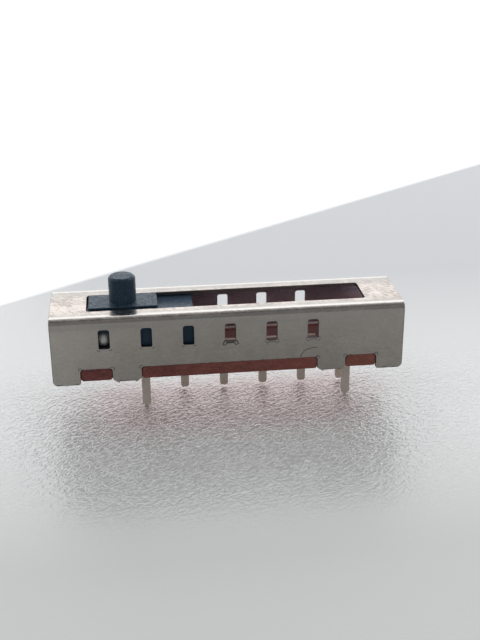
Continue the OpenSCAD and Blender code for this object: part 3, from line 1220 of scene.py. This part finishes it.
@dataclass
class Slide:
    """The moulding with its knob, and what it carries along."""

    edge: EdgeBreak = EdgeBreak(0.06, segments=3)
    plastic: MouldedPlastic = MouldedPlastic()
    bronze: BronzeStrip = BronzeStrip()
    wire: PolishedSteel = PolishedSteel("spring_steel", (0.55, 0.55, 0.56), Ramp(0.35, 0.65, 0.2, 0.3))
    ball: PolishedSteel = PolishedSteel(
        "ball_steel", (0.95, 0.93, 0.88), Ramp(0.35, 0.65, 0.30, 0.42), metal=0.55
    )

    def build(self) -> None:
        """Finish the moulding and dress the pieces inside it."""
        piece = merged_copy("slider")
        self.edge.apply(piece)
        smooth(piece)
        set_in_place(piece, "slider", Body.SLIDE, self.plastic.material())
        dress_node("moving_contact", self.bronze.material())
        dress_node("detent_spring", self.wire.material())
        steel = self.ball.material()
        for node in ("detent_ball_front", "detent_ball_back"):
            dress_node(node, steel)


@dataclass(frozen=True)
class PaleFloor:
    """Pale glazed paper, creased near the switch, that turns to white light far off.

    The light starts at a straight edge that runs across the floor at a slant. The seen paper is painted
    lighter to the left and darker to the front and far off, as painted light and shade, and carries a pink
    painted reflection of the board under the switch.
    """

    middle: Colour = (0.82, 0.82, 0.815)
    # Painted light and shade on the floor: darker far off, lighter to the left, darker to the front, with a
    # dimmer sheen at the front.
    far: Colour = (0.50, 0.515, 0.54)
    left: Colour = (0.90, 0.895, 0.885)
    front: Colour = (0.70, 0.705, 0.69)
    # A painted reflection: the pink of the board's underside, in the seen floor colour and the sheen's tint
    # under the switch.
    reflected_board: Colour = (0.70, 0.585, 0.58)
    unseen: Colour = (0.495, 0.525, 0.52)
    front_sheen: Colour = (0.72, 0.72, 0.715)
    reflected_board_sheen: Colour = (0.98, 0.86, 0.86)
    specular: float = 1.0
    index: float = 2.3

    folds: Clouds = Clouds(2.5, 1.0, 0.7, (0.8, 1.2, 1.0), (0.0, 0.0, -42.0))
    grain: Clouds = Clouds(2.6, 2.0, 0.8)
    fold_tone: Ramp = Ramp(0.36, 0.62)
    grain_share: float = 0.35
    depth: float = 0.095

    slant: Triple = (0.0, 0.0, -35.3)
    light: Ramp = Ramp(35.8, 38.2, 0.03, 1.0)
    to_far: Ramp = Ramp(2.0, 32.0)
    to_left: Ramp = Ramp(-32.0, -14.0, 1.0, 0.0)
    to_front: Ramp = Ramp(-28.0, -7.0, 1.0, 0.0)
    reflected_board_reach: Ramp = Ramp(0.75, 1.0)
    reflected_board_sides: Ramp = Ramp(10.0, 17.0, 1.0, 0.1)
    worn_front: Ramp = Ramp(-25.0, -5.0, 0.06, 1.0)
    worn_rear: Ramp = Ramp(1.0, 12.0, 1.0, 0.15)
    worn_sides: Ramp = Ramp(12.0, 24.0, 1.0, 0.5)
    gloss: Ramp = Ramp(0.0, 1.0, 0.25, 0.45)
    worn_gloss: Ramp = Ramp(0.0, 0.8)
    worn_rough: float = 0.09

    def material(self) -> bpy.types.Material:
        """Build the finish of the floor.

        Returns:
            The floor's material.
        """
        graph = Graph("floor")
        x, y = graph.along(Axis.X), graph.along(Axis.Y)
        seen = graph.add("LightPath").outputs["Is Camera Ray"]
        worn = self.worn(graph)
        front = graph.ramp(y, self.to_front)
        # Where the painted reflection of the board lies, under the switch.
        reflected_board = graph.product(graph.ramp(worn, self.reflected_board_reach), graph.ramp(graph.away(x), self.reflected_board_sides))
        # Painted light and shade: the seen floor darkens far off and to the front and lightens to the left,
        # and its sheen dims at the front.
        pale = graph.mix(graph.ramp(y, self.to_far), self.middle, self.far)
        pale = graph.mix(graph.ramp(x, self.to_left), pale, self.left)
        pale = graph.mix(front, pale, self.front)
        pale = graph.mix(reflected_board, pale, self.reflected_board)
        sheen = graph.mix(reflected_board, graph.mix(front, WHITE, self.front_sheen), self.reflected_board_sheen)
        light = graph.product(graph.ramp(graph.along(Axis.Y, self.slant), self.light), seen)
        surface = graph.surface.inputs
        graph.tree.links.new(sheen, surface["Specular Tint"])
        graph.tree.links.new(light, surface["Emission Strength"])
        surface["Emission Color"].default_value = rgba(WHITE)
        surface["Specular IOR Level"].default_value = self.specular
        surface["IOR"].default_value = self.index
        creases = graph.ramp(graph.noise(self.folds), self.fold_tone)
        height = graph.sum(creases, graph.noise(self.grain), self.grain_share)
        gloss = graph.blend(graph.ramp(worn, self.worn_gloss), graph.ramp(front, self.gloss), self.worn_rough)
        normal = graph.bump(height, self.depth, worn)
        return graph.finish(graph.mix(seen, self.unseen, pale), gloss, normal)

    def worn(self, graph: Graph) -> Socket:
        """Find how deep the floor's grain is.

        Args:
            graph: The finish's node tree.

        Returns:
            A value output, from nearly 0 far off to 1 near the switch.
        """
        level = graph.ramp(graph.along(Axis.Y), self.worn_front)
        level = graph.product(level, graph.ramp(graph.along(Axis.Y), self.worn_rear))
        return graph.product(level, graph.ramp(graph.away(graph.along(Axis.X)), self.worn_sides))


@dataclass(frozen=True)
class Camera:
    """The eye, in millimetres, and the way that it looks, in degrees."""

    lens: float = 78.6
    sensor: float = 36.0
    eye: Triple = (-9.309, -94.775, 45.214)
    azimuth: float = -6.457
    elevation: float = 23.257
    roll: float = -0.447
    nearest: float = 1.0
    farthest: float = 10000.0

    def build(self) -> None:
        """Set the camera at its eye point."""
        data = bpy.data.cameras.new("camera")
        data.sensor_fit = "HORIZONTAL"
        data.sensor_width = self.sensor
        data.lens = self.lens
        data.clip_start = self.nearest * MM
        data.clip_end = self.farthest * MM
        camera = add_object("camera", data)
        camera.location = Vector(self.eye) * MM
        turn = Euler((math.radians(90.0 - self.elevation), 0.0, math.radians(self.azimuth)))
        tilt = Euler((0.0, 0.0, math.radians(self.roll)))
        camera.rotation_euler = (turn.to_matrix() @ tilt.to_matrix()).to_euler()
        bpy.context.scene.camera = camera


@dataclass(frozen=True)
class Lamp:
    """A soft lamp that faces the switch, with its place and size in metres and its power in watts."""

    name: str
    place: Triple
    size: tuple[float, float]
    power: float

    def build(self) -> None:
        """Hang the lamp at its place."""
        data = bpy.data.lights.new(self.name, "AREA")
        data.shape = "RECTANGLE"
        data.size, data.size_y = self.size
        data.energy = self.power
        lamp = add_object(self.name, data)
        lamp.location = self.place
        lamp.rotation_euler = (-Vector(self.place)).to_track_quat("-Z", "Y").to_euler()
        lamp.visible_glossy = False


@dataclass(frozen=True)
class Room:
    """Pale air that is bright at the back and dim at the front.

    Its ramps run along the way that a ray goes. What mirrors show has more
    contrast than what lights the pieces.
    """

    air: Colour = (0.97, 0.985, 1.0)
    fill: Ramp = Ramp(-1.0, 0.6, 0.27, 0.60, Curve.EASED)
    mirrored: Ramp = Ramp(-0.5, 0.75, 0.19, 1.12, Curve.EASED)
    rising: Ramp = Ramp(0.66, 0.72, 1.0, 1.3, Curve.EASED)
    ceiling: Ramp = Ramp(0.72, 0.90, 1.0, 0.45, Curve.EASED)

    def build(self) -> None:
        """Light the room."""
        world = bpy.data.worlds.new("room")
        bpy.context.scene.world = world
        world.use_nodes = True
        nodes = Nodes(world.node_tree)
        way = nodes.add("SeparateXYZ", {0: nodes.add("TexCoord").outputs["Generated"]}).outputs
        ray = nodes.add("LightPath").outputs
        shown = nodes.work_out(Sum.LARGER, ray["Is Camera Ray"], ray["Is Glossy Ray"])
        mirrored = nodes.ramp(way["Y"], self.mirrored)
        for band in (self.rising, self.ceiling):
            mirrored = nodes.product(mirrored, nodes.ramp(way["Z"], band))
        level = nodes.blend(shown, nodes.ramp(way["Y"], self.fill), mirrored)
        background = nodes.add("Background", {"Color": rgba(self.air), "Strength": level})
        nodes.add("OutputWorld", {"Surface": background.outputs["Background"]})


@dataclass
class Studio:
    """The floor, the light and the camera."""

    floor_size: float = 4000.0
    paper: PaleFloor = PaleFloor()
    camera: Camera = Camera()
    room: Room = Room()
    window: Lamp = Lamp("window", (0.06, 0.50, 0.19), (0.50, 0.22), 2.0)

    def lay_floor(self) -> None:
        """Lay the floor under the pins."""
        level = CAD_BOX[0][2]
        bpy.ops.object.select_all(action="DESELECT")
        bpy.ops.mesh.primitive_plane_add(size=self.floor_size * MM, location=(0.0, 0.0, level))
        floor = bpy.context.view_layer.objects.active
        floor.name = "floor"
        bpy.ops.object.transform_apply(location=True, rotation=True, scale=True)
        dress(floor, self.paper.material())

    def build(self) -> None:
        """Set up the studio."""
        self.camera.build()
        self.lay_floor()
        self.room.build()
        self.window.build()
        bpy.context.scene.view_settings.view_transform = "Standard"
        LOG.info("studio: floor, room, window and camera")


def main() -> None:
    """Build the studio, then the switch."""
    logging.basicConfig(level=logging.INFO, format="%(message)s")
    Studio().build()
    Cover().build()
    Base().build()
    Slide().build()


if __name__ == "__main__":
    main()
